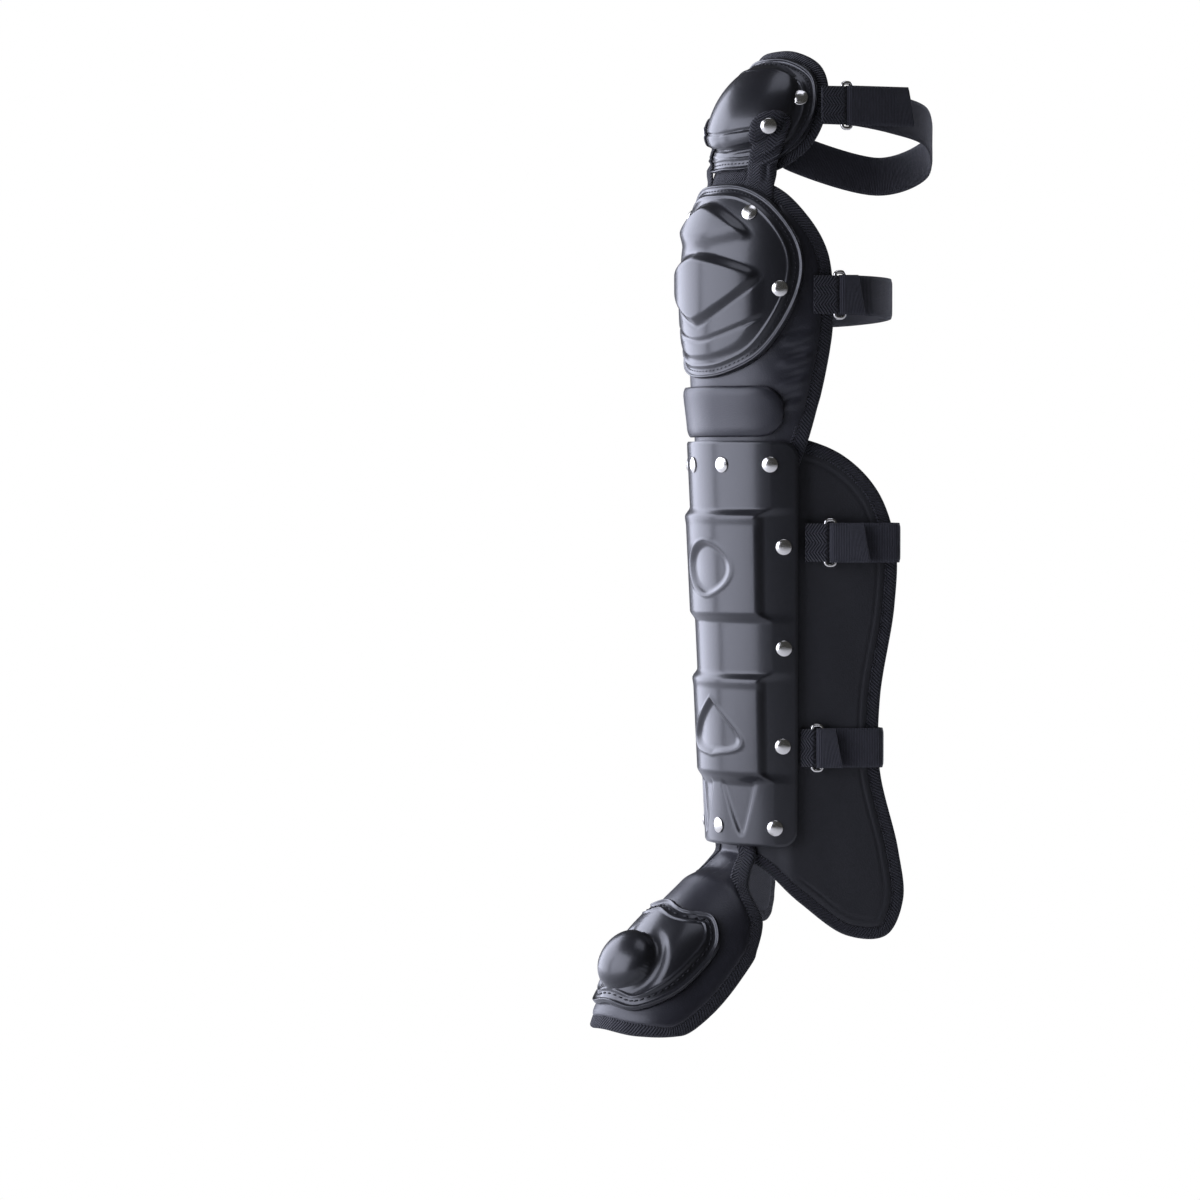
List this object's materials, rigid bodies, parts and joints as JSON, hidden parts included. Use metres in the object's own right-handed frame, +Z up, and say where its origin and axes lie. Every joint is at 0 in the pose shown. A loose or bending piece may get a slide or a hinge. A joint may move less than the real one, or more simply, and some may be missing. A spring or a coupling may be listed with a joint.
{
  "type": "catcher leg guard",
  "caption": "Hard-shelled leg guard with knee and thigh caps, padded lining, side wings, instep flap with a toe cap, and elastic straps with rings and clip buckles.",
  "frame": {"origin": "on the inner face of the shin lining, at the front centre line of the leg, 21 mm below the shin shell's top edge", "axes": "+Z up along the shin towards the thigh, -Y out of the front of the leg, +X towards the wearer's left (the inner side of a right leg)"},
  "size_m": [0.1848, 0.262, 0.6692],
  "materials": {
    "shell": "glossy moulded shell",
    "vinyl": "satin vinyl over foam",
    "lining": "matte brushed knit",
    "tape": "twill binding tape",
    "webbing": "ribbed webbing",
    "elastic": "fine-ribbed elastic",
    "nickel": "bright nickel plate",
    "plastic": "moulded, half matte"
  },
  "bodies": {
    "root": {"thigh_pad": "lining", "thigh_binding": "tape", "thigh_cap": "shell", "knee_pad": "vinyl", "knee_binding": "tape", "knee_cap": "shell", "knee_badge": "vinyl", "shin_panel": "lining", "shin_binding": "tape", "shin_shell": "shell", "foot_pad": "vinyl", "foot_binding": "tape", "toe_cap": "shell", "rivet_top_1": "nickel", "rivet_top_2": "nickel", "rivet_top_3": "nickel", "rivet_top_4": "nickel", "rivet_upper_1": "nickel", "rivet_upper_2": "nickel", "rivet_middle_1": "nickel", "rivet_middle_2": "nickel", "rivet_lower_1": "nickel", "rivet_lower_2": "nickel", "rivet_bottom_1": "nickel", "rivet_bottom_2": "nickel", "rivet_bottom_3": "nickel", "rivet_knee_top_right": "nickel", "rivet_knee_side_right": "nickel", "rivet_thigh_right": "nickel", "rivet_knee_top_left": "nickel", "rivet_knee_side_left": "nickel", "rivet_thigh_left": "nickel", "link_right": "webbing", "rivet_link_right": "nickel", "link_left": "webbing", "rivet_link_left": "nickel", "ring_tab_thigh": "webbing", "ring_thigh": "nickel", "strap_thigh": "elastic", "buckle_thigh": "plastic", "buckle_tab_thigh": "webbing", "ring_tab_knee": "webbing", "ring_knee": "nickel", "strap_knee": "elastic", "buckle_knee": "plastic", "buckle_tab_knee": "webbing", "ring_tab_calf": "webbing", "ring_calf": "nickel", "strap_calf": "elastic", "buckle_calf": "plastic", "buckle_tab_calf": "webbing", "ring_tab_ankle": "webbing", "ring_ankle": "nickel", "strap_ankle": "elastic", "buckle_ankle": "plastic", "buckle_tab_ankle": "webbing"}
  },
  "joints": []
}
